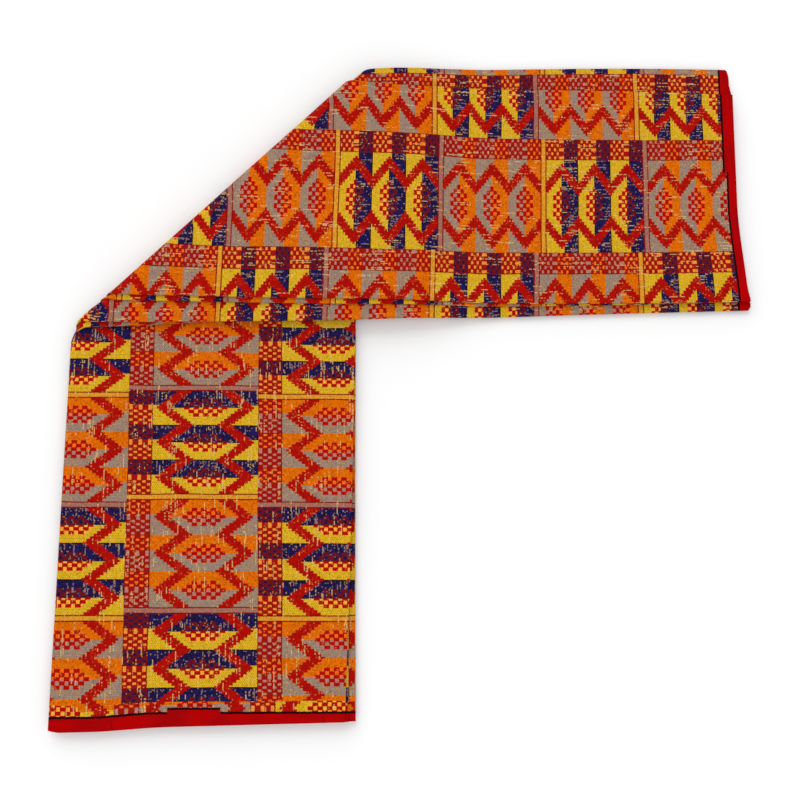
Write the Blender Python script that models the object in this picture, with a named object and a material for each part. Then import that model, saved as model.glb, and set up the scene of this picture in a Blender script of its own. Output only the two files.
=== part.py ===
"""One length of printed cotton cloth, folded and laid down as a corner with two legs.

The cloth is first folded back and forth, side to side, into a strip of eight layers. The strip is then
folded once over itself along a slanted line, so that the first leg runs along +Y and the second leg
lies over its end and runs off along +X. The bottom of both legs is flat at Z = 0.

Everything is worked out in the strip's own measures: along (from the selvedge of leg one to the
selvedge of leg two), across (from the strip's middle line, plus to the right of leg one) and up.
"""
import math
from collections import namedtuple

import bmesh
import bpy

MM = 0.001

# Cloth and stack
CLOTH = 1.0 * MM
LAYERS = 8
LAYER_PITCH = 1.35 * MM
STACK = CLOTH + (LAYERS - 1) * LAYER_PITCH

# The strip on the ground
STRIP_LENGTH = 1174.0 * MM
LEG_ONE_X = -212.1 * MM
LEG_ONE_Y = -366.6 * MM
END_SLANT = -0.051

# The slanted fold: its outer edge crosses the strip's middle line at FOLD_ALONG
FOLD_ANGLE = math.radians(43.54)
FOLD_ALONG = 580.0 * MM
FOLD_CLEARANCE = 2.2 * MM
FOLD_RADIUS = STACK + FOLD_CLEARANCE / 2
FOLD_SLOPE = math.tan(FOLD_ANGLE)
FOLD_REACH = FOLD_RADIUS / math.cos(FOLD_ANGLE)

# Leg two turns slowly back towards +X, and comes down to the ground past the edge of leg one, over the
# first part of its straight stretch
BEND_BACK = 0.0685
BEND_BACK_FROM = -367.1 * MM
DROP_FROM = -30.0 * MM
DROP_TO = 105.0 * MM
DROP_SHARE = 0.33

# Soft unevenness of the height, as a share of the height itself
Swell = namedtuple("Swell", "share length_x length_y turn")
SWELLS = (
    Swell(share=0.016, length_x=0.62, length_y=0.47, turn=0.6),
    Swell(share=0.010, length_x=-0.34, length_y=0.58, turn=2.1),
)

# Each fold or cut edge of the stack, from the cut edge of layer one to the cut edge of layer eight:
# its reach from the middle line at the start, at the slanted fold, beside leg one and at the end, how far
# it bows out midway along each leg, and how far a free end at either selvedge stands past the others
Edge = namedtuple("Edge", "side start corner beside end bow_one bow_two first_end last_end")
EDGES = (
    Edge(+1, start=128.0, corner=135.5, beside=132.5, end=131.4, bow_one=0.0, bow_two=3.4,
         first_end=3.0, last_end=0.0),
    Edge(-1, start=131.0, corner=126.5, beside=123.2, end=120.0, bow_one=0.0, bow_two=0.9,
         first_end=2.4, last_end=-0.4),
    Edge(+1, start=124.0, corner=128.0, beside=124.0, end=120.0, bow_one=1.5, bow_two=0.0,
         first_end=1.7, last_end=-1.2),
    Edge(-1, start=148.0, corner=132.2, beside=128.4, end=121.6, bow_one=1.0, bow_two=0.6,
         first_end=1.2, last_end=-2.2),
    Edge(+1, start=141.4, corner=155.0, beside=156.2, end=165.8, bow_one=-1.0, bow_two=4.2,
         first_end=0.4, last_end=-3.4),
    Edge(-1, start=157.0, corner=157.5, beside=142.2, end=128.6, bow_one=-1.0, bow_two=1.6,
         first_end=0.0, last_end=1.6),
    Edge(+1, start=127.0, corner=140.0, beside=142.0, end=146.0, bow_one=1.0, bow_two=2.0,
         first_end=-0.5, last_end=-1.0),
    Edge(-1, start=169.3, corner=161.6, beside=136.0, end=122.0, bow_one=-0.8, bow_two=1.0,
         first_end=-1.0, last_end=0.8),
    Edge(+1, start=132.2, corner=151.0, beside=150.5, end=152.0, bow_one=4.2, bow_two=3.0,
         first_end=-1.6, last_end=-1.5),
)

# How finely the solid is divided
INNER_POINTS = (-85.0 * MM, 0.0, 85.0 * MM)
TURN_STEPS = 4
LEG_ONE_STEPS = 9
FOLD_STEPS = 10
FAN_STEPS = 6
DROP_STEPS = 6
FLAT_STEPS = 6

PRINT_RED = (0.402, 0.012, 0.007, 1.0)
PRINT_ROUGHNESS = 0.75


def smooth_step(value, low, high):
    """0 below low, 1 above high, and a soft rise between."""
    share = min(max((value - low) / (high - low), 0.0), 1.0)
    return share * share * (3.0 - 2.0 * share)


def layer_height(layer):
    """Height of the middle of a layer, counted from zero at the bottom of leg one."""
    return CLOTH / 2 + layer * LAYER_PITCH


def fold_line(across):
    """How far along the strip the outer edge of the slanted fold lies."""
    return FOLD_ALONG + FOLD_SLOPE * across


def leg_one(along, across):
    """Ground position of a point of the strip before the slanted fold."""
    return LEG_ONE_X + across, LEG_ONE_Y + along


def leg_two(along, across):
    """Ground position of a point of the strip after it: mirrored in the fold's outer edge, and bent back."""
    x, y = across, along - FOLD_ALONG
    behind = -x * math.sin(FOLD_ANGLE) + y * math.cos(FOLD_ANGLE)
    x += 2 * behind * math.sin(FOLD_ANGLE) + LEG_ONE_X
    y += -2 * behind * math.cos(FOLD_ANGLE) + FOLD_ALONG + LEG_ONE_Y
    return x, y + 0.5 * BEND_BACK * max(x - BEND_BACK_FROM, 0.0) ** 2


def along_at_x(x, across):
    """How far along the strip a point of leg two is, whose ground position has this X."""
    turned = 2 * FOLD_ANGLE - math.pi / 2
    return FOLD_ALONG + (x - LEG_ONE_X - across * math.sin(turned)) / math.cos(turned)


def uneven(x, y, z):
    """Lifts a point in proportion to its height, so that the bottom stays flat."""
    share = 0.0
    for swell in SWELLS:
        wave = 2 * math.pi * (x / swell.length_x + y / swell.length_y) + swell.turn
        share += swell.share * math.sin(wave)
    return x, y, z * (1.0 + share)


def place_leg_one(share, across, up, free_end):
    """A point of leg one: share 0 is the selvedge, share 1 is where the slanted fold begins."""
    start = -free_end
    along = start + share * (fold_line(across) - FOLD_REACH - start)
    return uneven(*leg_one(along, across), up)


def place_fold(share, across, up):
    """A point of the slanted fold: it runs round an axis at the height of the stack."""
    line = fold_line(across)
    x_in, y_in = leg_one(line - FOLD_REACH, across)
    x_out, y_out = leg_two(line + FOLD_REACH, across)
    turn = math.pi * share
    radius = FOLD_RADIUS - up
    out = radius * math.sin(turn)
    x = x_in + share * (x_out - x_in) - out * math.sin(FOLD_ANGLE)
    y = y_in + share * (y_out - y_in) + out * math.cos(FOLD_ANGLE)
    return uneven(x, y, FOLD_RADIUS - radius * math.cos(turn))


def place_leg_two(x_share, x_from, x_to, across, up, free_end):
    """A point of leg two between two stations, each an X on the ground or None for the slanted fold."""
    if x_from is None:
        low = fold_line(across) + FOLD_REACH
    else:
        low = along_at_x(x_from, across)
    if x_to is None:
        high = STRIP_LENGTH + END_SLANT * across + free_end
    else:
        high = along_at_x(x_to, across)
    x, y = leg_two(low + x_share * (high - low), across)
    lift = (STACK + FOLD_CLEARANCE) * (1.0 - smooth_step(x, DROP_FROM, DROP_TO))
    return uneven(x, y, lift + STACK - up)


def reach(edge, leg, share):
    """Reach of a fold or cut edge across the strip, on its own side."""
    if leg == "one":
        value = edge.start + share * (edge.corner - edge.start) + edge.bow_one * 4 * share * (1 - share)
    elif leg == "fold":
        value = edge.corner
    elif leg == "fan":
        value = edge.corner + share * (edge.beside - edge.corner)
    else:
        value = edge.beside + share * (edge.end - edge.beside) + edge.bow_two * 4 * share * (1 - share)
    return edge.side * value * MM


def stack_section(leg, share):
    """The cloth's cross-section at one station: pairs of points on its two faces, from cut edge to cut edge,
    each with the layer that it belongs to."""
    pairs = []
    half = CLOTH / 2
    radius = LAYER_PITCH / 2
    for layer in range(LAYERS):
        height = layer_height(layer)
        first, last = EDGES[layer], EDGES[layer + 1]
        from_side, to_side = reach(first, leg, share), reach(last, leg, share)
        if layer > 0:
            from_side -= first.side * (radius + half)
        if layer < LAYERS - 1:
            to_side -= last.side * (radius + half)
        heading = last.side
        inner = sorted(INNER_POINTS, reverse=heading < 0)
        for across in (from_side, *inner, to_side):
            pairs.append(((across, height + heading * half), (across, height - heading * half), layer))
        if layer < LAYERS - 1:
            middle = height + radius
            for step in range(1, TURN_STEPS):
                turn = math.pi * step / TURN_STEPS
                sideways, upwards = heading * math.sin(turn), -math.cos(turn)
                inside, outside = radius - half, radius + half
                near = (to_side + inside * sideways, middle + inside * upwards)
                far = (to_side + outside * sideways, middle + outside * upwards)
                where = layer + step / TURN_STEPS
                pairs.append((near, far, where) if heading > 0 else (far, near, where))
    return pairs


def free_end(where, ends):
    """How far the cloth's end stands out at this layer, between the two edges that bound it."""
    low = int(where)
    share = where - low
    here = (ends[low] + ends[low + 1]) / 2
    if low + 2 < len(ends):
        following = (ends[low + 1] + ends[low + 2]) / 2
    else:
        following = here
    return (here + share * (following - here)) * MM


def stations():
    """Every station along the strip: its leg, its share of that leg and how to place a point there."""
    first_ends = [edge.first_end for edge in EDGES]
    last_ends = [edge.last_end for edge in EDGES]

    def on_leg_one(share):
        return lambda across, up, where: place_leg_one(share, across, up, free_end(where, first_ends))

    def on_fold(share):
        return lambda across, up, where: place_fold(share, across, up)

    def on_leg_two(share, x_from, x_to):
        return lambda across, up, where: place_leg_two(
            share, x_from, x_to, across, up, free_end(where, last_ends))

    for step in range(LEG_ONE_STEPS):
        share = step / LEG_ONE_STEPS
        yield "one", share, on_leg_one(share)
    for step in range(FOLD_STEPS):
        share = step / FOLD_STEPS
        yield "fold", share, on_fold(share)
    for step in range(FAN_STEPS):
        share = step / FAN_STEPS
        yield "fan", share, on_leg_two(share, None, DROP_FROM)
    for step in range(DROP_STEPS):
        share = step / DROP_STEPS
        yield "two", share * DROP_SHARE, on_leg_two(share, DROP_FROM, DROP_TO)
    for step in range(FLAT_STEPS + 1):
        share = step / FLAT_STEPS
        yield "two", DROP_SHARE + share * (1 - DROP_SHARE), on_leg_two(share, DROP_TO, None)


def cloth_material():
    material = bpy.data.materials.new("printed_cotton")
    material.use_nodes = True
    shader = material.node_tree.nodes["Principled BSDF"]
    shader.inputs["Base Color"].default_value = PRINT_RED
    shader.inputs["Roughness"].default_value = PRINT_ROUGHNESS
    shader.inputs["Metallic"].default_value = 0.0
    return material


def folded_cloth():
    """The whole cloth as one closed sheet: faces along both sides, and along the cut edges and selvedges."""
    mesh = bmesh.new()
    rings = []
    for leg, share, place in stations():
        pairs = stack_section(leg, share)
        ring = [mesh.verts.new(place(*pair[0], pair[2])) for pair in pairs]
        ring += [mesh.verts.new(place(*pair[1], pair[2])) for pair in reversed(pairs)]
        rings.append(ring)
    count = len(rings[0])
    for ring, following in zip(rings, rings[1:]):
        for index in range(count):
            after = (index + 1) % count
            mesh.faces.new((ring[index], ring[after], following[after], following[index]))
    for ring, flip in ((rings[0], True), (rings[-1], False)):
        for index in range(count // 2 - 1):
            corners = [ring[index], ring[index + 1], ring[count - 2 - index], ring[count - 1 - index]]
            mesh.faces.new(reversed(corners) if flip else corners)
    bmesh.ops.triangulate(mesh, faces=mesh.faces[:])
    bmesh.ops.recalc_face_normals(mesh, faces=mesh.faces[:])
    data = bpy.data.meshes.new("folded_cloth")
    mesh.to_mesh(data)
    mesh.free()
    data.materials.append(cloth_material())
    cloth = bpy.data.objects.new("folded_cloth", data)
    bpy.context.scene.collection.objects.link(cloth)
    data.shade_smooth()
    data.set_sharp_from_angle(angle=math.radians(40))
    return cloth


def main():
    for old in list(bpy.data.objects):
        bpy.data.objects.remove(old)
    folded_cloth()


main()
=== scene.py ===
"""The looks of one length of printed cotton, folded into a strip of eight layers and laid as a corner.

The cloth is one thin sheet on the folds of its solid. Its print is charted as a wax-print kente design,
in millimetres of the flat cloth: across (column after column) and along (selvedge to selvedge).
"""
import math
from collections import namedtuple

import bpy
import numpy as np
from mathutils import Matrix


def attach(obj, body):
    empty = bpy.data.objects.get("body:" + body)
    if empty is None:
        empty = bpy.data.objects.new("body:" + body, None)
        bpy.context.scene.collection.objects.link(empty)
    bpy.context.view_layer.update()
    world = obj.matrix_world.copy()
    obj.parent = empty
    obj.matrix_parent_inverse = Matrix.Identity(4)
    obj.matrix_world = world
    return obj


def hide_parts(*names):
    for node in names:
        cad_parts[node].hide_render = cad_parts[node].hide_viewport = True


MM = 0.001

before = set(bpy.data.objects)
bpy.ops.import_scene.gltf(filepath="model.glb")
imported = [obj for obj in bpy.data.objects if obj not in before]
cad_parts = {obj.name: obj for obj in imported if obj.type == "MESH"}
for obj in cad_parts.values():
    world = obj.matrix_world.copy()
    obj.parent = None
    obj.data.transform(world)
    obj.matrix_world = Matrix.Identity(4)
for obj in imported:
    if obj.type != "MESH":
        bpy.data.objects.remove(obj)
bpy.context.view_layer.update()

# The stack, as in the solid: eight layers, one above the other
LAYERS = 8
LAYER_PITCH = 1.35 * MM
SOLID_CLOTH = 1.0 * MM
CLOTH = 0.55 * MM
STACK = SOLID_CLOTH + (LAYERS - 1) * LAYER_PITCH

# The strip on the ground
LEG_ONE_X = -212.1 * MM
LEG_ONE_Y = -366.6 * MM

# The second selvedge: it slants and curls out towards one side, flares at the corner there, steps back
# towards the other side, and both its corners are round
END_MIDDLE = 1168.3 * MM
END_SLANT = -0.010
END_CURL = 9.0 * MM
END_CURL_FROM = 5.0 * MM
END_CURL_TO = 132.0 * MM
END_FLARE = 3.2 * MM
END_FLARE_FROM = 100.0 * MM
END_FLARE_TO = 128.0 * MM
END_ROUND_LOW = 8.0 * MM
END_ROUND_LOW_FROM = 122.0 * MM
END_ROUND_LOW_TO = 136.0 * MM
END_STEP = 2.2 * MM
END_STEP_FROM = 131.0 * MM
END_STEP_TO = 145.0 * MM
END_ROUND_HIGH = 5.0 * MM
END_ROUND_HIGH_FROM = 154.0 * MM
END_ROUND_HIGH_TO = 176.0 * MM

# The first selvedge: it sags towards one side, and its corner there is round
START_MIDDLE = 2.0 * MM
START_SAG = 2.9 * MM
START_SAG_FROM = 50.0 * MM
START_SAG_TO = 130.0 * MM
START_ROUND = 2.4 * MM
START_ROUND_FROM = 161.0 * MM
START_ROUND_TO = 174.0 * MM

# The slanted fold: its outer edge crosses the strip's middle line at FOLD_ALONG
FOLD_ANGLE = math.radians(43.54)
FOLD_ALONG = 580.0 * MM
FOLD_CLEARANCE = 2.2 * MM
FOLD_RADIUS = STACK + FOLD_CLEARANCE / 2
FOLD_SLOPE = math.tan(FOLD_ANGLE)
FOLD_REACH = FOLD_RADIUS / math.cos(FOLD_ANGLE)

# In the fold's lower corner the inner layers reach out, where the outer ones end, and less so at its tip
PUSH_OUT = 6.4 * MM
PUSH_OUT_FROM = 122.0 * MM
PUSH_OUT_TO = 139.0 * MM
PUSH_BACK = 5.0 * MM
PUSH_BACK_FROM = 154.5 * MM
PUSH_BACK_TO = 163.5 * MM

# Leg two turns slowly back towards +X, and comes down to the ground past the edge of leg one. The drop
# takes up this share of the way from beside the fold to the second selvedge
BEND_BACK = 0.0685
BEND_BACK_FROM = -367.1 * MM
DROP_FROM = -30.0 * MM
DROP_TO = 105.0 * MM
DROP_SHARE = 0.33

# Soft unevenness of the height, as a share of the height itself
Swell = namedtuple("Swell", "share length_x length_y turn")
SWELLS = (
    Swell(share=0.016, length_x=0.62, length_y=0.47, turn=0.6),
    Swell(share=0.010, length_x=-0.34, length_y=0.58, turn=2.1),
    Swell(share=0.012, length_x=0.17, length_y=0.23, turn=1.2),
    Swell(share=0.008, length_x=-0.11, length_y=0.15, turn=4.0),
)

# Each fold or cut edge, from the cut edge of layer one to the cut edge of layer eight, in millimetres: its
# reach from the middle line at four places along the strip, how far it bows out midway along each leg, and
# how far the cloth's end stands out there at either selvedge
Edge = namedtuple("Edge", "side start corner beside end bow_one bow_two first_end last_end")
EDGES = (
    Edge(+1, start=128.0, corner=135.5, beside=132.5, end=131.4, bow_one=0.0, bow_two=3.4,
         first_end=-0.3, last_end=0.0),
    Edge(-1, start=131.0, corner=126.5, beside=123.2, end=120.0, bow_one=0.0, bow_two=0.9,
         first_end=-0.2, last_end=-0.4),
    Edge(+1, start=124.0, corner=128.0, beside=124.0, end=120.0, bow_one=1.5, bow_two=0.0,
         first_end=-0.4, last_end=-1.2),
    Edge(-1, start=148.0, corner=132.2, beside=128.4, end=119.5, bow_one=1.0, bow_two=0.3,
         first_end=-0.5, last_end=-2.2),
    Edge(+1, start=141.4, corner=153.6, beside=156.2, end=165.8, bow_one=-1.5, bow_two=4.2,
         first_end=-1.0, last_end=-3.4),
    Edge(-1, start=157.0, corner=157.5, beside=145.2, end=129.2, bow_one=-1.0, bow_two=-2.4,
         first_end=-0.2, last_end=3.6),
    Edge(+1, start=133.8, corner=140.0, beside=142.0, end=146.0, bow_one=1.0, bow_two=2.0,
         first_end=-0.6, last_end=-1.0),
    Edge(-1, start=172.4, corner=163.5, beside=136.0, end=120.0, bow_one=0.0, bow_two=1.0,
         first_end=0.0, last_end=0.8),
    Edge(+1, start=129.8, corner=152.5, beside=150.5, end=152.0, bow_one=3.2, bow_two=3.0,
         first_end=-0.2, last_end=-1.5),
)

# How finely the sheet is divided. The two layers that show have many points across, crowded a little
# towards their folds. The others have few, at these shares of the way from a fold, and the same from the
# other one
OPEN_STEPS = 37
OPEN_CROWDING = 0.06
HIDDEN_NEAR = (0.0, 0.012, 0.026, 0.045, 0.0725, 0.163, 0.281, 0.424)
TURN_STEPS = 6
LEG_ONE_STEPS = 48
FOLD_STEPS = 16
FAN_STEPS = 30
DROP_STEPS = 16
FLAT_STEPS = 36

# The print's repeat, in millimetres of the flat cloth. A column runs along the cloth: a chequered band,
# then a block with two zigzags and a row of lozenges. Cells follow each other along it, with a line between
COLUMN = 137.9
BAND = 25.3
CELL = 118.5
FIRST_LINE = 118.9
ODD_SHIFT = 8.5
LINE = 4.4
PAIRS = 3
PAIR = (CELL - LINE) / PAIRS
STRIPE_OUT = 21.6
STRIPE_IN = 18.5
RIM_BEFORE = 0.1
RIM_AFTER = 0.8
PAIR_RIM = 1.3
ZIGZAG_NEAR = 20.0
ZIGZAG_FAR = 45.2
ZIGZAG_HALF = 7.8
ZIGZAG_STEPS = 7
ZIGZAG_BLUNT = 0.95
CHECK_ACROSS = 5.06
CHECK_ALONG = 3.2
CHECK_GAP = 0.14
WIDE_TILE = 5.0
LOZENGE_PITCH = 9.9
LOZENGE_ROW = 3.9
LOZENGE_GAP = 0.19
LOZENGE_SQUARES = 5.0
LOZENGE_ROWS = 2.0
FINE_LINE = 0.9
FINE_LINE_OUT = 0.5
THIN_LINE = 1.3

# A border row beside the first selvedge: set off both ways, and its stripes meet on a slanted line
BORDER_ROW = 26.3
BORDER_ACROSS = 7.3
BORDER_ALONG = 2.2
BORDER_STRIPE = 21.6
BORDER_SLANT = 0.027

# The selvedges: a plain red band outside a dark line, which runs further in at a few deeper places
LINE_ONE = 15.2
LINE_ONE_DEEP = 19.5
LINE_TWO = 1163.4
LINE_TWO_DEEP = 1159.5
DARK_LINE = 2.3

# Where the print lies on the layers that show, in millimetres: the place across the strip where an even
# column starts, which column of the cloth that is, and how its scale changes along leg two
PRINT_TOP_TWO = 74.3
PRINT_TOP_ONE = -98.8
COLUMN_TOP_ONE = 14
START_TOP_ONE = COLUMN_TOP_ONE * COLUMN
PRINT_SCALE_ONE = 0.9935
PRINT_SCALE_FROM = 0.978
PRINT_SCALE_RISE = 0.074
PRINT_SCALE_ALONG = 583.0 * MM

# Places across the cloth: where the selvedges' lines run deeper, and two short creases in the first one,
# along which shade is painted
DEEP_ONE = (START_TOP_ONE + 46.5, START_TOP_ONE + 100.6)
DEEP_TWO_UP_TO = 40.6
DEEP_TWO = (6.8 * COLUMN, 7.4 * COLUMN)
CREASES = (START_TOP_ONE - 7.5, START_TOP_ONE + 207.0)
CREASE_SLANT = 0.25
CREASE_HALF = 0.7
CREASE_REACH = 11.0

# How the print's rows run, in millimetres: slanted on leg one, with a sag near its selvedge on one side,
# set off on leg two, and following the curl of the second selvedge. Pairs are from and to
ROW_SAG = 4.8
ROW_SAG_ACROSS = (60.0, 135.0)
ROW_SAG_ALONG = (0.0, 80.0)
ROW_SLANT_ONE = 0.0217
ROW_LEVEL_ONE = -20.0
ROW_OFFSET_TWO = 4.4
ROW_SLANT_TWO = 0.010
ROW_STRETCH_TWO = 0.003
ROW_STRETCH_FROM = 800.0
ROW_TURN = (400.0, 680.0)
ROW_CURL = (1020.0, 1165.0)


def smooth_step(value, low, high):
    """0 below low, 1 above high, and a soft rise between."""
    share = min(max((value - low) / (high - low), 0.0), 1.0)
    return share * share * (3.0 - 2.0 * share)


def layer_height(layer):
    """Height of the middle of a layer, counted from zero at the bottom of leg one."""
    return SOLID_CLOTH / 2 + layer * LAYER_PITCH


def fold_line(across):
    """How far along the strip the outer edge of the slanted fold lies."""
    return FOLD_ALONG + FOLD_SLOPE * across


def end_curl(across):
    """How far the second selvedge curls out towards one side."""
    return END_CURL * smooth_step(-across, END_CURL_FROM, END_CURL_TO)


def end_line(across):
    """How far along the strip the second selvedge lies."""
    flare = END_FLARE * smooth_step(-across, END_FLARE_FROM, END_FLARE_TO)
    low = END_ROUND_LOW * smooth_step(-across, END_ROUND_LOW_FROM, END_ROUND_LOW_TO)
    high = END_STEP * smooth_step(across, END_STEP_FROM, END_STEP_TO)
    high += END_ROUND_HIGH * smooth_step(across, END_ROUND_HIGH_FROM, END_ROUND_HIGH_TO)
    return END_MIDDLE + END_SLANT * across + end_curl(across) + flare - low - high


def start_line(across):
    """The same for the first selvedge."""
    sag = START_SAG * smooth_step(-across, START_SAG_FROM, START_SAG_TO)
    return START_MIDDLE - sag + START_ROUND * smooth_step(-across, START_ROUND_FROM, START_ROUND_TO)


def corner_push(across):
    """How far the inner layers reach out in the slanted fold where the outer ones don't reach."""
    push = PUSH_OUT * smooth_step(-across, PUSH_OUT_FROM, PUSH_OUT_TO)
    return push - PUSH_BACK * smooth_step(-across, PUSH_BACK_FROM, PUSH_BACK_TO)


def leg_one(along, across):
    """Ground position of a point of the strip before the slanted fold."""
    return LEG_ONE_X + across, LEG_ONE_Y + along


def leg_two(along, across):
    """Ground position of a point of the strip after it: mirrored in the fold's outer edge, and bent back."""
    x, y = across, along - FOLD_ALONG
    behind = -x * math.sin(FOLD_ANGLE) + y * math.cos(FOLD_ANGLE)
    x += 2 * behind * math.sin(FOLD_ANGLE) + LEG_ONE_X
    y += -2 * behind * math.cos(FOLD_ANGLE) + FOLD_ALONG + LEG_ONE_Y
    return x, y + 0.5 * BEND_BACK * max(x - BEND_BACK_FROM, 0.0) ** 2


def along_at_x(x, across):
    """How far along the strip a point of leg two is, whose ground position has this X."""
    turned = 2 * FOLD_ANGLE - math.pi / 2
    return FOLD_ALONG + (x - LEG_ONE_X - across * math.sin(turned)) / math.cos(turned)


def uneven(x, y, z):
    """Lifts a point in proportion to its height, so that the bottom stays flat."""
    share = 0.0
    for swell in SWELLS:
        wave = 2 * math.pi * (x / swell.length_x + y / swell.length_y) + swell.turn
        share += swell.share * math.sin(wave)
    return x, y, z * (1.0 + share)


def place_leg_one(share, across, up, ends):
    """Where a point of leg one lies, and how far along the strip: share 0 is the selvedge, 1 the fold."""
    start = start_line(across) - ends[0]
    along = start + share * (fold_line(across) - FOLD_REACH - start)
    return uneven(*leg_one(along, across), up), along


def place_fold(share, across, up, ends):
    """The same for the slanted fold: it runs round an axis at the height of the stack."""
    line = fold_line(across)
    x_in, y_in = leg_one(line - FOLD_REACH, across)
    x_out, y_out = leg_two(line + FOLD_REACH, across)
    turn = math.pi * share
    radius = FOLD_RADIUS - up
    out = (radius + corner_push(across)) * math.sin(turn)
    x = x_in + share * (x_out - x_in) - out * math.sin(FOLD_ANGLE)
    y = y_in + share * (y_out - y_in) + out * math.cos(FOLD_ANGLE)
    along = line + (2 * share - 1) * FOLD_REACH
    return uneven(x, y, FOLD_RADIUS - radius * math.cos(turn)), along


def place_leg_two(low, high, share, across, up):
    """The same for a point of leg two, between two places along the strip."""
    along = low + share * (high - low)
    x, y = leg_two(along, across)
    lift = (STACK + FOLD_CLEARANCE) * (1.0 - smooth_step(x, DROP_FROM, DROP_TO))
    return uneven(x, y, lift + STACK - up), along


def place_fan(share, across, up, ends):
    """Where leg two lies on leg one: from the slanted fold to where it starts to come down."""
    low, high = fold_line(across) + FOLD_REACH, along_at_x(DROP_FROM, across)
    return place_leg_two(low, high, share, across, up)


def place_drop(share, across, up, ends):
    """Where it comes down to the ground."""
    low, high = along_at_x(DROP_FROM, across), along_at_x(DROP_TO, across)
    return place_leg_two(low, high, share, across, up)


def place_flat(share, across, up, ends):
    """Where it lies on the ground, up to the second selvedge."""
    low, high = along_at_x(DROP_TO, across), end_line(across) + ends[1]
    return place_leg_two(low, high, share, across, up)


# The stretches of the strip: how a point is placed there, how many steps it has, and which share of the
# edges' own columns it runs through
Stretch = namedtuple("Stretch", "place steps columns from_share to_share")
STRETCHES = (
    Stretch(place_leg_one, LEG_ONE_STEPS, "one", 0.0, 1.0),
    Stretch(place_fold, FOLD_STEPS, "fold", 0.0, 1.0),
    Stretch(place_fan, FAN_STEPS, "fan", 0.0, 1.0),
    Stretch(place_drop, DROP_STEPS, "two", 0.0, DROP_SHARE),
    Stretch(place_flat, FLAT_STEPS, "two", DROP_SHARE, 1.0),
)


def reach(edge, columns, share):
    """Reach of a fold or cut edge across the strip, on its own side."""
    if columns == "one":
        value = edge.start + share * (edge.corner - edge.start) + edge.bow_one * 4 * share * (1 - share)
    elif columns == "fold":
        value = edge.corner
    elif columns == "fan":
        value = edge.corner + share * (edge.beside - edge.corner)
    else:
        value = edge.beside + share * (edge.end - edge.beside) + edge.bow_two * 4 * share * (1 - share)
    return edge.side * value * MM


# What the print shows at each hidden layer's two folds, in columns and millimetres, and whether it counts
# up (+1) or down (-1) inwards from there
Showing = namedtuple("Showing", "start start_way end end_way")
SHOWINGS = {
    1: Showing(start=(1, 60.0), start_way=1, end=(3, 40.0), end_way=-1),
    2: Showing(start=(3, 42.0), start_way=1, end=(4, 127.0), end_way=-1),
    3: Showing(start=(4, 129.0), start_way=1, end=(7, -7.4), end_way=1),
    4: Showing(start=(7, 36.0), start_way=1, end=(9, 81.0), end_way=-1),
    5: Showing(start=(9, 83.0), start_way=1, end=(11, -5.0), end_way=-1),
    6: Showing(start=(11, -3.0), start_way=1, end=(13, 60.0), end_way=-1),
}


def print_across(layer, across, along, from_edge, to_edge):
    """The print's coordinate across the columns, in millimetres, for a point of a layer."""
    place = across / MM
    if layer == 0:
        scale = PRINT_SCALE_FROM + PRINT_SCALE_RISE * max(along - PRINT_SCALE_ALONG, 0.0)
        return (PRINT_TOP_TWO - place) * scale
    if layer == LAYERS - 1:
        return START_TOP_ONE + (place - PRINT_TOP_ONE) * PRINT_SCALE_ONE
    showing = SHOWINGS[layer]
    from_start, from_end = abs(across - from_edge) / MM, abs(to_edge - across) / MM
    near_start = showing.start[0] * COLUMN + showing.start[1] + showing.start_way * from_start
    near_end = showing.end[0] * COLUMN + showing.end[1] + showing.end_way * from_end
    share = smooth_step(from_start / (from_start + from_end), 0.25, 0.75)
    return near_start + share * (near_end - near_start)


def print_along(along, across):
    """The print's coordinate along the cloth, from one selvedge to the other, in millimetres."""
    place, far = across / MM, along / MM
    sag = ROW_SAG * smooth_step(-place, *ROW_SAG_ACROSS) * (1 - smooth_step(far, *ROW_SAG_ALONG))
    one = ROW_SLANT_ONE * (place - ROW_LEVEL_ONE) + sag
    two = ROW_OFFSET_TWO + ROW_STRETCH_TWO * (far - ROW_STRETCH_FROM) + ROW_SLANT_TWO * place
    curl = end_curl(across) / MM * smooth_step(far, *ROW_CURL)
    share = smooth_step(far, *ROW_TURN)
    return far + one + share * (two - one) - curl


def layer_ends(layer, part):
    """How far the cloth's two ends stand out, at a layer or part of the way round to the next one."""
    def mean(index, name):
        """The mean of the two edges of a layer."""
        return (getattr(EDGES[index], name) + getattr(EDGES[index + 1], name)) / 2

    ends = []
    for name in ("first_end", "last_end"):
        here = mean(layer, name)
        following = mean(layer + 1, name) if layer + 2 < len(EDGES) else here
        ends.append((here + part * (following - here)) * MM)
    return ends


# A point of the section: its place across and up, its way out to one face, its layer, the part of the way
# round to the next layer, and where its layer's two folds or cut edges lie
Point = namedtuple("Point", "across up out_across out_up layer part low high")


def layer_parts(layer):
    """Where the points of a layer lie, as shares of the way from one fold to the other."""
    if layer in (0, LAYERS - 1):
        parts = [step / OPEN_STEPS for step in range(OPEN_STEPS + 1)]
        return [part - OPEN_CROWDING * math.sin(2 * math.pi * part) for part in parts]
    return HIDDEN_NEAR + tuple(1.0 - part for part in reversed(HIDDEN_NEAR))


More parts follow.
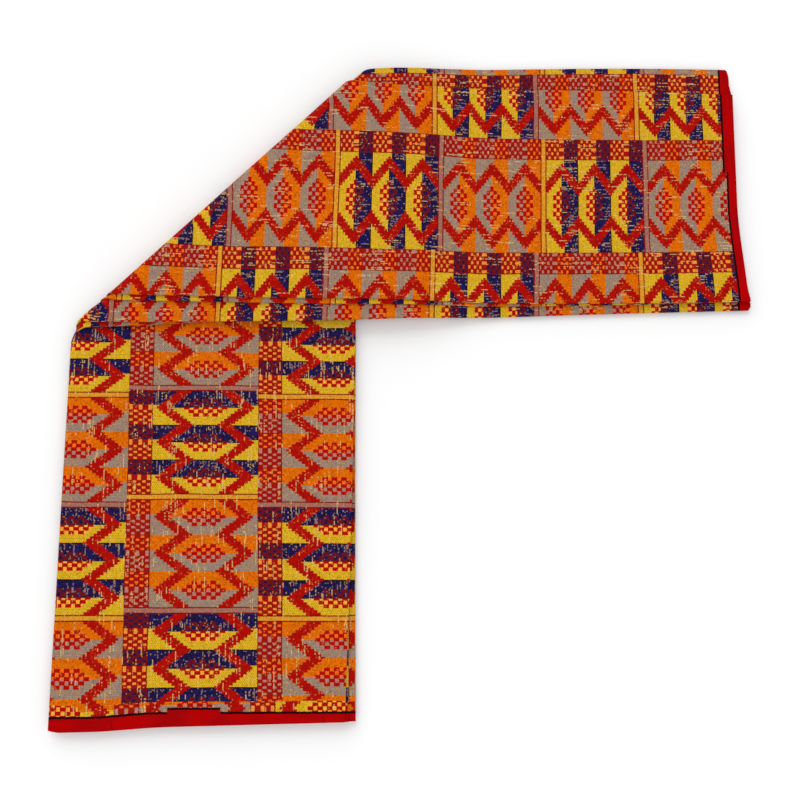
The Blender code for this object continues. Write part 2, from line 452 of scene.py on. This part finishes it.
def section(columns, share):
    """The middle of the cloth at one station, from cut edge to cut edge."""
    points = []
    radius = LAYER_PITCH / 2
    for layer in range(LAYERS):
        height = layer_height(layer)
        first, last = EDGES[layer], EDGES[layer + 1]
        low, high = reach(first, columns, share), reach(last, columns, share)
        start, stop = low, high
        if layer > 0:
            start -= first.side * (radius + SOLID_CLOTH / 2)
        if layer < LAYERS - 1:
            stop -= last.side * (radius + SOLID_CLOTH / 2)
        for part in layer_parts(layer):
            across = start + part * (stop - start)
            points.append(Point(across, height, 0.0, last.side, layer, 0.0, low, high))
        if layer < LAYERS - 1:
            for step in range(1, TURN_STEPS):
                turn = math.pi * step / TURN_STEPS
                across = stop + last.side * radius * math.sin(turn)
                up = height + radius - radius * math.cos(turn)
                points.append(Point(across, up, -math.sin(turn), last.side * math.cos(turn), layer,
                                    step / TURN_STEPS, low, high))
    return points


def print_of(point, along, columns, share):
    """The print's two coordinates at a point of the section."""
    if point.part == 0.0:
        u = print_across(point.layer, point.across, along, point.low, point.high)
    else:
        here = print_across(point.layer, point.high, along, point.low, point.high)
        beyond = reach(EDGES[point.layer + 2], columns, share)
        following = print_across(point.layer + 1, point.high, along, point.high, beyond)
        u = here + point.part * (following - here)
    return u, print_along(along, point.across)


def sheet_rows():
    """The sheet's stations from selvedge to selvedge: their points on both faces, and their print."""
    half = CLOTH / 2
    near, far, prints = [], [], []
    for stretch in STRETCHES:
        last = stretch is STRETCHES[-1]
        for step in range(stretch.steps + (1 if last else 0)):
            part = step / stretch.steps
            share = stretch.from_share + part * (stretch.to_share - stretch.from_share)
            row_near, row_far, row_print = [], [], []
            for point in section(stretch.columns, share):
                out_across, out_up = half * point.out_across, half * point.out_up
                ends = layer_ends(point.layer, point.part)
                spot, along = stretch.place(part, point.across + out_across, point.up + out_up, ends)
                row_near.append(spot)
                spot, along = stretch.place(part, point.across - out_across, point.up - out_up, ends)
                row_far.append(spot)
                row_print.append(print_of(point, along, stretch.columns, share))
            near.append(row_near)
            far.append(row_far)
            prints.append(row_print)
    return near, far, prints


def sheet_faces(rows, columns):
    """The faces of the closed sheet: its two sides, its two cut edges and its two selvedges."""
    def at(side, row, column):
        """The number of a point: side 0 is the near face, and 1 the far one."""
        return side * rows * columns + row * columns + column

    faces = []
    for row in range(rows - 1):
        for column in range(columns - 1):
            quad = [(row, column), (row, column + 1), (row + 1, column + 1), (row + 1, column)]
            faces.append([at(0, *corner) for corner in quad])
            faces.append([at(1, *corner) for corner in reversed(quad)])
        for column, turned in ((0, False), (columns - 1, True)):
            quad = [at(0, row, column), at(0, row + 1, column), at(1, row + 1, column), at(1, row, column)]
            faces.append(quad[::-1] if turned else quad)
    for row, turned in ((0, True), (rows - 1, False)):
        for column in range(columns - 1):
            quad = [at(0, row, column), at(0, row, column + 1), at(1, row, column + 1), at(1, row, column)]
            faces.append(quad[::-1] if turned else quad)
    return faces


def cloth_sheet():
    """The folded cloth as one closed thin sheet, with the print's coordinates in its UV map, in metres."""
    near, far, prints = sheet_rows()
    vertices = np.array(near + far, dtype=float).reshape(-1, 3)
    coordinates = np.array(prints + prints, dtype=float).reshape(-1, 2) * MM
    mesh = bpy.data.meshes.new("printed_cloth")
    mesh.from_pydata(vertices.tolist(), [], sheet_faces(len(near), len(near[0])))
    layer = mesh.uv_layers.new(name="print")
    corners = np.empty(len(mesh.loops), dtype=np.int32)
    mesh.loops.foreach_get("vertex_index", corners)
    layer.data.foreach_set("uv", coordinates[corners].ravel())
    mesh.validate()
    mesh.update()
    cloth = bpy.data.objects.new("printed_cloth", mesh)
    bpy.context.scene.collection.objects.link(cloth)
    mesh.shade_smooth()
    mesh.set_sharp_from_angle(angle=math.radians(60))
    return cloth


class Num:
    """A number in a material, so that a formula can be written as one. A mask is a number, 0 or 1."""

    def __init__(self, tree, socket):
        self.tree, self.socket = tree, socket

    def _node(self, operation, *values):
        node = self.tree.nodes.new("ShaderNodeMath")
        node.operation = operation
        for index, value in enumerate(values):
            if isinstance(value, Num):
                self.tree.links.new(value.socket, node.inputs[index])
            else:
                node.inputs[index].default_value = float(value)
        return Num(self.tree, node.outputs[0])

    def __add__(self, other):
        return self._node("ADD", self, other)

    __radd__ = __add__

    def __sub__(self, other):
        return self._node("SUBTRACT", self, other)

    def __rsub__(self, other):
        return self._node("SUBTRACT", other, self)

    def __mul__(self, other):
        return self._node("MULTIPLY", self, other)

    __rmul__ = __mul__

    def __truediv__(self, other):
        return self._node("DIVIDE", self, other)

    def floor(self):
        return self._node("FLOOR", self)

    def abs(self):
        return self._node("ABSOLUTE", self)

    def sine(self):
        return self._node("SINE", self)

    def mod(self, other):
        return self._node("FLOORED_MODULO", self, other)

    def above(self, other):
        return self._node("GREATER_THAN", self, other)

    def below(self, other):
        return self._node("LESS_THAN", self, other)

    def between(self, low, high):
        return self.above(low) * self.below(high)

    def either(self, other):
        return self._node("MAXIMUM", self, other)

    def least(self, other):
        return self._node("MINIMUM", self, other)

    def inverse(self):
        return self._node("SUBTRACT", 1.0, self)

    def differs(self, other):
        """1 where just one of two masks is set."""
        return (self - other).abs()

    def soft(self, low, high):
        """A soft rise from 0 at low to 1 at high."""
        node = self.tree.nodes.new("ShaderNodeMapRange")
        node.interpolation_type = "SMOOTHSTEP"
        self.tree.links.new(self.socket, node.inputs["Value"])
        node.inputs["From Min"].default_value = low
        node.inputs["From Max"].default_value = high
        return Num(self.tree, node.outputs["Result"])


class Tint:
    """A colour in a material."""

    def __init__(self, tree, value):
        self.tree, self.value = tree, value

    def over(self, mask, colour):
        """This colour, with another one laid over it where the mask says."""
        node = self.tree.nodes.new("ShaderNodeMix")
        node.data_type = "RGBA"
        self.tree.links.new(mask.socket, node.inputs["Factor"])
        for value, name in ((self.value, "A"), (colour.value if isinstance(colour, Tint) else colour, "B")):
            socket = [entry for entry in node.inputs if entry.name == name and entry.type == "RGBA"][0]
            if isinstance(value, tuple):
                socket.default_value = (*value, 1.0)
            else:
                self.tree.links.new(value, socket)
        output = [entry for entry in node.outputs if entry.type == "RGBA"][0]
        return Tint(self.tree, output)


def linear(red, green, blue):
    """A colour as seen on screen, in whole steps of 255, as the linear one that the shader takes."""
    def channel(value):
        value /= 255
        return value / 12.92 if value <= 0.04045 else ((value + 0.055) / 1.055) ** 2.4
    return channel(red), channel(green), channel(blue)


# The colours of the print, and of the marks in it
RED = linear(162, 11, 4)
RED_POINT = linear(206, 78, 46)
BAND_RED = linear(170, 0, 2)
BAND_RED_DEEP = linear(148, 2, 6)
DEEP_RED = linear(120, 8, 4)
ORANGE = linear(208, 100, 3)
ORANGE_POINT = linear(164, 56, 4)
YELLOW = linear(210, 167, 33)
YELLOW_POINT = linear(142, 96, 16)
LINE_YELLOW = linear(206, 138, 38)
NAVY = linear(30, 25, 82)
NAVY_POINT = linear(21, 11, 18)
NAVY_CHECK = linear(34, 20, 60)
GREY = linear(147, 124, 111)
GREY_POINT = linear(98, 70, 56)
GREY_SPECK = linear(172, 134, 76)
LINE_GREY = linear(153, 100, 86)
MAROON = linear(100, 16, 26)
DARK = linear(32, 5, 7)
EDGE_DARK = linear(22, 15, 20)
PALE = linear(206, 172, 112)
DOT = linear(158, 122, 108)
CHECK_YELLOW = linear(234, 160, 54)
BAND_YELLOW = linear(220, 134, 48)
CHECK_ORANGE = linear(228, 100, 22)
CHECK_GREY = linear(170, 116, 100)
CHECK_RED = linear(148, 16, 10)
SPECK_PALE = linear(206, 150, 70)
SPECK_DARK = linear(60, 30, 20)

# The threads' marks, in millimetres: the pitch of the threads, how far one colour runs along a thread and
# how long its beads are, the patches in which the marks are close together, the raised points of the
# weave and the loose specks. A jump in the noise keeps a thread apart from the next one
THREAD = 1.06
THREAD_JUMP = 3.7
THREAD_RUN = 22.0
BEAD = 1.5
PATCH = 11.0
STREAK_JUMP = 7.31
STREAK_RUN = 30.0
STREAK_BEAD = 1.6
STREAK_PATCH_ACROSS = 24.0
STREAK_PATCH_ALONG = 46.0
POINT_ACROSS = 2.1
POINT_ALONG = 1.75
SPECK = 1.25

# Where the marks show: the level that their noise, from 0 to 1, has to pass, or the share that stays below
# it, how strongly each mark covers, and how strongly the patches pull the marks together
NAVY_THREAD_LEVEL = 0.69
NAVY_BEAD_LEVEL = 0.3
NAVY_DOT_LEVEL = 0.785
NAVY_DOT_STRENGTH = 0.7
NAVY_POINT_SHARE = 0.5
NAVY_POINT_STRENGTH = 0.7
GREY_SPECK_LEVEL = 0.64
GREY_SPECK_STRENGTH = 0.6
GREY_POINT_STRENGTH = 0.6
YELLOW_POINT_STRENGTH = 0.75
ORANGE_POINT_LEVEL = 0.74
ORANGE_POINT_STRENGTH = 0.42
RED_THREAD_LEVEL = 0.66
RED_BEAD_LEVEL = 0.6
RED_POINT_STRENGTH = 0.25
RED_DARK_SHARE = 0.16
RED_DARK_STRENGTH = 0.45
STREAK_LEVEL = 0.70
STREAK_BEAD_LEVEL = 0.36
STREAK_STRENGTH = 0.7
SPECK_PALE_SHARE = 0.035
SPECK_PALE_STRENGTH = 0.4
SPECK_DARK_SHARES = (0.3, 0.36)
SPECK_DARK_STRENGTH = 0.30
THREAD_PULL = 0.4
STREAK_PULL = 0.34

# How strongly the drawn parts of the print cover: the rim, less of it inside a pair of stripes, the paler
# ground of the lozenges and the lines; and how strongly the painted shade along the creases covers
RIM_STRENGTH = 0.9
RIM_INSIDE = 0.5
GLOW_STRENGTH = 0.75
FINE_LINE_STRENGTH = 0.8
THIN_LINE_STRENGTH = 0.95
CREASE_SHADE_STRENGTH = 0.4

# How the print wanders off its chart, in millimetres: over which length and by how much in all, and the
# jitter of its outlines
WANDER = 90.0
WANDER_BY = 2.4
JITTER = 1.1
JITTER_BY = 0.4

# The selvedges' ragged line and the patches in their red, and the patches and grain of the cloth's tone
RAGGED = 1.3
RAGGED_BY = 0.5
RED_PATCH_ACROSS = 40.0
RED_PATCH_ALONG = 9.0
TONE_PATCH = 1.9
TONE_GRAIN = 1.05
TONE_STRENGTH = 0.75
TONE_LESS_ON_SELVEDGE = 0.55

# The weave: the period of its threads and of the thick places in them, in millimetres, how far the weave
# stands out, in metres, and how rough the cloth is, at least and by how much more in patches
WEAVE = 0.62
THICK_ACROSS = 1.0
THICK_ALONG = 5.0
WEAVE_DEPTH = 0.00018
ROUGH = 0.66
ROUGHER_BY = 0.2
ROUGH_PATCH = 14.0


def pair_of(tree, across, along):
    """Two numbers as the one vector that a texture reads."""
    join = tree.nodes.new("ShaderNodeCombineXYZ")
    tree.links.new(across.socket, join.inputs[0])
    tree.links.new(along.socket, join.inputs[1])
    return join.outputs[0]


def noise_at(tree, across, along, detail=2.0):
    """Smooth noise of two coordinates, about 0.5 in the middle. A number added to a coordinate keeps one
    noise apart from another."""
    noise = tree.nodes.new("ShaderNodeTexNoise")
    noise.noise_dimensions = "2D"
    noise.inputs["Scale"].default_value = 1.0
    noise.inputs["Detail"].default_value = detail
    tree.links.new(pair_of(tree, across, along), noise.inputs["Vector"])
    return Num(tree, noise.outputs["Fac"])


def grain_at(tree, across, along):
    """A different number from 0 to 1 in each whole square of two coordinates."""
    grain = tree.nodes.new("ShaderNodeTexWhiteNoise")
    grain.noise_dimensions = "2D"
    tree.links.new(pair_of(tree, across.floor(), along.floor()), grain.inputs["Vector"])
    return Num(tree, grain.outputs["Value"])


# Where a point of the cloth falls on the chart. Places in millimetres: across its column, along its cell
# and its pair of stripes, from the middle of the block, and where the zigzag runs. Masks: the border row,
# the far side of its slanted line, the yellow and navy family, the second stripe of a pair, navy, the
# chequered band, and between the two zigzags
Chart = namedtuple("Chart", "in_column in_cell along from_centre zigzag border slanted warm stripe navy "
                            "in_band inside")


def chart_at(u, v):
    """Reads the chart at a point of the flat cloth."""
    border = v.below(BORDER_ROW)
    slanted = v.above((u - START_TOP_ONE) * BORDER_SLANT + BORDER_STRIPE)
    u_shifted = u + border * BORDER_ACROSS
    column = (u_shifted / COLUMN).floor()
    odd = column.mod(2.0)
    in_column = u_shifted - column * COLUMN
    v_shifted = v + odd * ODD_SHIFT * border.inverse() + border * BORDER_ALONG
    from_line = v_shifted - FIRST_LINE
    cell = (from_line / CELL).floor()
    in_cell = from_line - cell * CELL
    warm = cell.mod(2.0).differs(odd).differs(border)
    in_band = in_column.below(BAND)

    along = (in_cell - LINE / 2).mod(PAIR)
    from_centre = in_column - (BAND + COLUMN) / 2
    steps = (along / (PAIR / 2 / ZIGZAG_STEPS) + 0.5).floor()
    rise = (1.0 - (steps / ZIGZAG_STEPS - 1.0).abs()).least(ZIGZAG_BLUNT)
    zigzag = rise * (ZIGZAG_FAR - ZIGZAG_NEAR) + ZIGZAG_NEAR
    inside = from_centre.abs().below(zigzag) * in_band.inverse()
    stripe = along.above(STRIPE_OUT - (STRIPE_OUT - STRIPE_IN) * inside) * border.inverse()
    stripe = stripe.either(border * slanted)
    navy = warm * stripe * border.inverse()
    return Chart(in_column, in_cell, along, from_centre, zigzag, border, slanted, warm, stripe, navy,
                 in_band, inside)


# The irregular marks that the threads leave in the colour, from 0 to 1: patches, threads and single beads
Marks = namedtuple("Marks", "patches threads beads")


def marks_at(tree, u, v):
    """The marks at a point of the flat cloth."""
    patches = noise_at(tree, u / PATCH + 50.0, v / PATCH)
    thread = (u / THREAD).floor()
    threads = noise_at(tree, thread * THREAD_JUMP + 60.0, v / THREAD_RUN, 0.0)
    threads = threads + (patches - 0.5) * THREAD_PULL
    return Marks(patches, threads, grain_at(tree, u / THREAD, v / BEAD))


def ground(tree, u, v, chart, marks):
    """The stripes in pairs along the cell: grey then orange, or yellow then navy. Orange lies flat, navy
    shows pale threads, and yellow and grey show the points of the raised weave."""
    mixed = marks.beads * 0.5 + marks.patches * 0.5
    pale = marks.threads.above(NAVY_THREAD_LEVEL) * marks.beads.above(NAVY_BEAD_LEVEL)
    pale = pale.either(mixed.above(NAVY_DOT_LEVEL))
    row = v / POINT_ALONG
    point = (u / POINT_ACROSS + row.floor() * 0.5).mod(1.0).below(0.5) * row.mod(1.0).below(0.6)
    point = point * (marks.beads * 0.5 + 0.5)
    navy = Tint(tree, NAVY).over(marks.beads.below(NAVY_POINT_SHARE) * NAVY_POINT_STRENGTH, NAVY_POINT)
    navy = navy.over(pale * NAVY_DOT_STRENGTH, DOT)
    grey = Tint(tree, GREY).over(mixed.above(GREY_SPECK_LEVEL) * GREY_SPECK_STRENGTH, GREY_SPECK)
    grey = grey.over(point * GREY_POINT_STRENGTH, GREY_POINT)
    orange_point = marks.beads.above(ORANGE_POINT_LEVEL) * ORANGE_POINT_STRENGTH
    orange = Tint(tree, ORANGE).over(orange_point, ORANGE_POINT)
    yellow = Tint(tree, YELLOW).over(point * YELLOW_POINT_STRENGTH, YELLOW_POINT)
    warm_base = yellow.over(chart.stripe, navy).over(chart.border * chart.slanted, orange)
    return grey.over(chart.stripe, orange).over(chart.warm, warm_base)


def dark_rim(chart):
    """A mask for the dark rim where navy meets yellow, and where a pair of those stripes ends."""
    inner = chart.along.between(STRIPE_IN - RIM_BEFORE, STRIPE_IN + RIM_AFTER) * chart.inside
    outer = chart.along.between(STRIPE_OUT - RIM_BEFORE, STRIPE_OUT + RIM_AFTER) * chart.inside.inverse()
    rim = inner.either(outer) * RIM_INSIDE
    return rim.either(chart.along.above(PAIR - PAIR_RIM)) * chart.warm * chart.border.inverse()


def chequered_band(tree, chart):
    """The band beside the block: rows of tiles, of which the last on the first stripe is a wide one."""
    rows = chart.in_column / CHECK_ACROSS
    row = rows.floor()
    tiles = (chart.along / CHECK_ALONG).least(WIDE_TILE)
    tiles = tiles.either((chart.along - STRIPE_OUT) / CHECK_ALONG + (WIDE_TILE + 1.0))
    tile = tiles.floor()
    open_row = (rows - row).between(CHECK_GAP, 1.0 - CHECK_GAP)
    open_tile = (tiles - tile).between(CHECK_GAP, 1.0 - CHECK_GAP)
    open_tile = open_tile.either(tile.between(WIDE_TILE - 0.5, WIDE_TILE + 0.5))
    dark = (row + tile).mod(2.0).below(0.5).either((open_row * open_tile).inverse())
    plain = Tint(tree, CHECK_GREY).over(chart.stripe, CHECK_ORANGE)
    plain = plain.over(chart.warm, Tint(tree, BAND_YELLOW).over(chart.navy, NAVY_CHECK))
    return plain.over(dark, Tint(tree, CHECK_RED).over(chart.navy, MAROON))


def with_lozenges(tree, colour, chart):
    """The row of lozenges in the middle of a block: rows of three to five squares on a paler ground."""
    row = ((chart.along - STRIPE_IN).abs() / LOZENGE_ROW + 0.5).floor()
    squares = LOZENGE_SQUARES - row
    in_square = (squares * 0.5 * LOZENGE_PITCH + chart.from_centre).mod(LOZENGE_PITCH)
    square = in_square.between(LOZENGE_PITCH * LOZENGE_GAP, LOZENGE_PITCH * (1.0 - LOZENGE_GAP))
    within = chart.from_centre.abs().below(squares * LOZENGE_PITCH / 2) * row.below(LOZENGE_ROWS + 0.5)
    within = within * chart.in_band.inverse()
    glow = Tint(tree, CHECK_GREY).over(chart.stripe, CHECK_ORANGE).over(chart.warm, CHECK_YELLOW)
    colour = colour.over(within * chart.navy.inverse() * GLOW_STRENGTH, glow)
    return colour.over(square * within, Tint(tree, RED).over(chart.navy, MAROON))


def with_zigzags(tree, colour, chart, marks):
    """The two stepped zigzags of a block."""
    mask = (chart.from_centre.abs() - chart.zigzag).abs().below(ZIGZAG_HALF) * chart.in_band.inverse()
    point = marks.threads.above(RED_THREAD_LEVEL) * marks.beads.above(RED_BEAD_LEVEL)
    red = Tint(tree, RED).over(point * RED_POINT_STRENGTH, RED_POINT)
    red = red.over(marks.beads.below(RED_DARK_SHARE) * RED_DARK_STRENGTH, DEEP_RED)
    return colour.over(mask, red)


def with_lines(tree, colour, chart):
    """Fine red lines beside each band, and the line between cells, except in the border row."""
    beside = chart.in_column.between(BAND - FINE_LINE, BAND + FINE_LINE_OUT)
    beside = beside.either(chart.in_column.below(FINE_LINE))
    colour = colour.over(beside * FINE_LINE_STRENGTH, DEEP_RED)
    to_line = chart.in_cell.least(CELL - chart.in_cell) + chart.border * CELL
    second_half = chart.in_cell.above(CELL / 2)
    tint = Tint(tree, LINE_GREY).over(chart.warm.differs(second_half), LINE_YELLOW)
    colour = colour.over(to_line.below(LINE / 2), tint)
    thin = to_line.between(LINE / 2, LINE / 2 + THIN_LINE)
    return colour.over(thin * THIN_LINE_STRENGTH, DEEP_RED)


def kente_print(tree, u, v):
    """The whole print from the flat cloth's coordinates, in millimetres."""
    chart, marks = chart_at(u, v), marks_at(tree, u, v)
    colour = ground(tree, u, v, chart, marks)
    colour = colour.over(dark_rim(chart) * RIM_STRENGTH, EDGE_DARK)
    colour = colour.over(chart.in_band, chequered_band(tree, chart))
    colour = with_lozenges(tree, colour, chart)
    colour = with_zigzags(tree, colour, chart, marks)
    return with_lines(tree, colour, chart)


def with_thread_marks(tree, colour, u, v):
    """Pale marks where a raised thread took less dye, close together here and there, and loose specks."""
    thread = (u / THREAD).floor()
    patchy = noise_at(tree, u / STREAK_PATCH_ACROSS, v / STREAK_PATCH_ALONG + 9.0)
    streak = noise_at(tree, thread * STREAK_JUMP, v / STREAK_RUN, 1.0) + (patchy - 0.5) * STREAK_PULL
    beads = grain_at(tree, u / THREAD, v / STREAK_BEAD)
    pale = streak.above(STREAK_LEVEL) * beads.above(STREAK_BEAD_LEVEL)
    colour = colour.over(pale * STREAK_STRENGTH, PALE)
    speck = grain_at(tree, u / SPECK, v / SPECK)
    colour = colour.over(speck.below(SPECK_PALE_SHARE) * SPECK_PALE_STRENGTH, SPECK_PALE)
    return colour.over(speck.between(*SPECK_DARK_SHARES) * SPECK_DARK_STRENGTH, SPECK_DARK)


def from_selvedge_line(tree, u, v):
    """How far inside the nearer selvedge's dark line a point lies. The line is a little ragged."""
    ragged = (grain_at(tree, u / RAGGED, v * 0.0) - 0.5) * RAGGED_BY
    deep_one = u.between(*DEEP_ONE)
    deep_two = u.below(DEEP_TWO_UP_TO).either(u.between(*DEEP_TWO))
    from_one = v - (deep_one * (LINE_ONE_DEEP - LINE_ONE) + LINE_ONE) + ragged
    from_two = LINE_TWO - deep_two * (LINE_TWO - LINE_TWO_DEEP) - v + ragged
    return from_one.least(from_two)


def with_selvedges(tree, colour, u, v, from_line):
    """The plain red selvedges with their dark lines, and painted shade along the creases across the first
    one.
    """
    patches = noise_at(tree, u / RED_PATCH_ACROSS, v / RED_PATCH_ALONG).soft(0.35, 0.75)
    red = Tint(tree, BAND_RED).over(patches, BAND_RED_DEEP)
    colour = colour.over(from_line.below(DARK_LINE / 2), DARK).over(from_line.below(-DARK_LINE / 2), red)
    # Painted shade: a dark line along each of the two short creases across the first selvedge
    slanted = u + v * CREASE_SLANT
    from_crease = (slanted - CREASES[0]).abs().least((slanted - CREASES[1]).abs())
    crease_shade = from_crease.below(CREASE_HALF) * v.below(CREASE_REACH)
    return colour.over(crease_shade * CREASE_SHADE_STRENGTH, DARK)


def with_tone(tree, colour, u, v, from_line):
    """The cloth's own unevenness of tone, less of it on the selvedges."""
    patches = noise_at(tree, u / TONE_PATCH, v / TONE_PATCH)
    tone = patches * 0.5 + grain_at(tree, u / TONE_GRAIN, v / TONE_GRAIN) * 0.5
    strength = from_line.below(0.0) * -TONE_LESS_ON_SELVEDGE + TONE_STRENGTH
    shade = tree.nodes.new("ShaderNodeHueSaturation")
    tree.links.new(((tone - 0.5) * strength + 1.0).socket, shade.inputs["Value"])
    tree.links.new(colour.value, shade.inputs["Color"])
    return Tint(tree, shade.outputs[0])


def weave(tree, u, v):
    """The relief of plain weave: threads over and under each other, some of them thicker."""
    weft = (v * (2 * math.pi / WEAVE)).sine()
    warp = (u * (2 * math.pi / WEAVE)).sine()
    height = weft * warp * 0.5 + noise_at(tree, u / THICK_ACROSS, v / THICK_ALONG, 3.0) * 1.4
    bump = tree.nodes.new("ShaderNodeBump")
    bump.inputs["Strength"].default_value = 0.35
    bump.inputs["Distance"].default_value = WEAVE_DEPTH
    tree.links.new(height.socket, bump.inputs["Height"])
    return bump.outputs[0]


def printed_cotton():
    """The cloth's material: the print, the marks of the threads in it, the selvedges and the weave."""
    material = bpy.data.materials.new("printed_cotton_wax")
    material.use_nodes = True
    tree = material.node_tree
    shader = tree.nodes["Principled BSDF"]
    uv = tree.nodes.new("ShaderNodeUVMap")
    uv.uv_map = "print"
    parts = tree.nodes.new("ShaderNodeSeparateXYZ")
    tree.links.new(uv.outputs[0], parts.inputs[0])
    u = Num(tree, parts.outputs[0]) * (1 / MM)
    v = Num(tree, parts.outputs[1]) * (1 / MM)

    wander_u = (noise_at(tree, u / WANDER, v / WANDER) - 0.5) * WANDER_BY
    wander_v = (noise_at(tree, u / WANDER + 31.0, v / WANDER) - 0.5) * WANDER_BY
    jitter = (grain_at(tree, u / JITTER, v / JITTER) - 0.5) * JITTER_BY
    colour = kente_print(tree, u + (wander_u + jitter), v + wander_v)
    colour = with_thread_marks(tree, colour, u, v)
    from_line = from_selvedge_line(tree, u, v)
    colour = with_selvedges(tree, colour, u, v, from_line)
    colour = with_tone(tree, colour, u, v, from_line)
    tree.links.new(colour.value, shader.inputs["Base Color"])
    tree.links.new(weave(tree, u, v), shader.inputs["Normal"])
    rough = noise_at(tree, u / ROUGH_PATCH, v / ROUGH_PATCH) * ROUGHER_BY + ROUGH
    tree.links.new(rough.socket, shader.inputs["Roughness"])
    shader.inputs["Specular IOR Level"].default_value = 0.02
    return material


# Camera: its lens and sensor in millimetres, its place in metres, and its turns in degrees, with the turn of
# the ground first
FOCAL = 50.0
SENSOR = 36.0
CAMERA_PLACE = (-0.0782, -0.2635, 1.1993)
GROUND_TURN = 1.058
CAMERA_TILT = 11.22
CAMERA_PAN = -3.05
CAMERA_ROLL = -1.73

# The floor in metres, and its white
FLOOR_HALF = 4.0
FLOOR_DROP = 0.0004
FLOOR_WHITE = 0.885

# The light: the strength of the even surround, and two wide lights
SURROUND = 0.65
Light = namedtuple("Light", "name direction spread strength")
LIGHTS = (
    Light("key", direction=(-0.42, 1.0, 0.62), spread=62.0, strength=1.6),
    Light("fill", direction=(0.3, -0.9, 1.1), spread=80.0, strength=1.02),
)


def camera():
    """The photo's camera. The view transform keeps the print's strong colours."""
    data = bpy.data.cameras.new("camera")
    data.lens = FOCAL
    data.sensor_width = SENSOR
    data.sensor_fit = "HORIZONTAL"
    eye = bpy.data.objects.new("camera", data)
    turned = Matrix.Identity(3)
    for angle, axis in ((GROUND_TURN, "Z"), (CAMERA_TILT, "X"), (CAMERA_PAN, "Y"), (CAMERA_ROLL, "Z")):
        turned = turned @ Matrix.Rotation(math.radians(angle), 3, axis)
    eye.matrix_world = Matrix.Translation(CAMERA_PLACE) @ turned.to_4x4()
    bpy.context.scene.collection.objects.link(eye)
    bpy.context.scene.camera = eye
    bpy.context.scene.view_settings.view_transform = "Standard"


def wide_light(light):
    """A far soft light that shines from a direction, as wide as its spread in degrees."""
    data = bpy.data.lights.new(light.name, "SUN")
    data.energy = light.strength
    data.angle = math.radians(light.spread)
    lamp = bpy.data.objects.new(light.name, data)
    lamp.location = light.direction
    lamp.rotation_euler = (-lamp.location).to_track_quat("-Z", "Y").to_euler()
    bpy.context.scene.collection.objects.link(lamp)


def floor():
    """A pale floor, just under the cloth."""
    mesh = bpy.data.meshes.new("floor")
    corners = [(x * FLOOR_HALF, y * FLOOR_HALF, 0) for x, y in ((-1, -1), (1, -1), (1, 1), (-1, 1))]
    mesh.from_pydata(corners, [], [(0, 1, 2, 3)])
    ground_plane = bpy.data.objects.new("floor", mesh)
    bpy.context.scene.collection.objects.link(ground_plane)
    ground_plane.location.z = -FLOOR_DROP
    material = bpy.data.materials.new("floor_white")
    material.use_nodes = True
    shader = material.node_tree.nodes["Principled BSDF"]
    shader.inputs["Base Color"].default_value = (FLOOR_WHITE, FLOOR_WHITE, FLOOR_WHITE, 1.0)
    shader.inputs["Roughness"].default_value = 0.9
    shader.inputs["Specular IOR Level"].default_value = 0.1
    mesh.materials.append(material)


def surround():
    """An even pale surround."""
    world = bpy.data.worlds.new("surround")
    world.use_nodes = True
    background = world.node_tree.nodes["Background"]
    background.inputs["Color"].default_value = (1.0, 1.0, 1.0, 1.0)
    background.inputs["Strength"].default_value = SURROUND
    bpy.context.scene.world = world


def main():
    """Builds the cloth, says what it is to the frame, and sets up the camera and the light."""
    cloth = cloth_sheet()
    cloth.data.materials.append(printed_cotton())
    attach(cloth, "root")
    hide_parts("folded_cloth")
    camera()
    floor()
    surround()
    for light in LIGHTS:
        wide_light(light)


main()
